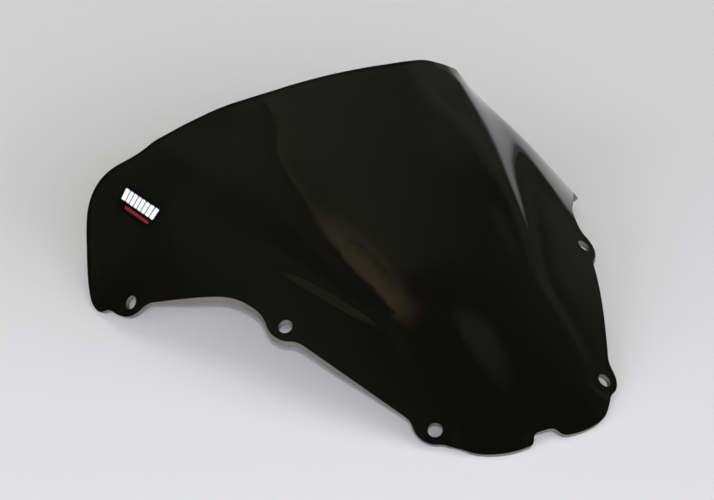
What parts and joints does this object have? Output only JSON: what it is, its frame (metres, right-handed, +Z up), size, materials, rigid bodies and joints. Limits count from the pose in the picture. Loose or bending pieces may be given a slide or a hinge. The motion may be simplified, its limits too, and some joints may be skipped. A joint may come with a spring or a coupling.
{
  "type": "motorcycle windshield screen",
  "caption": "Dark smoked double-bubble windshield screen for a sport motorcycle fairing: formed sheet with side wings, nose notch, screw tabs and a small label.",
  "frame": {"origin": "on the ground plane below the middle of the screen's length, on the plane of symmetry; the screen rests on its nose and its two wing tips", "axes": "-Y towards the nose (direction of travel), +Y towards the rider, +X to the rider's right, +Z up"},
  "size_m": [0.3774, 0.3627, 0.134],
  "materials": {
    "smoked_acrylic": "polished, dark smoke tint, nearly opaque; saw-cut edges are satin",
    "label_film_black": "satin film",
    "label_print_white": "satin print",
    "label_print_red": "satin print"
  },
  "bodies": {
    "root": {"screen_panel": "smoked_acrylic", "label_film": "label_film_black", "label_white_bar": "label_print_white", "label_red_strip": "label_print_red"}
  },
  "joints": []
}
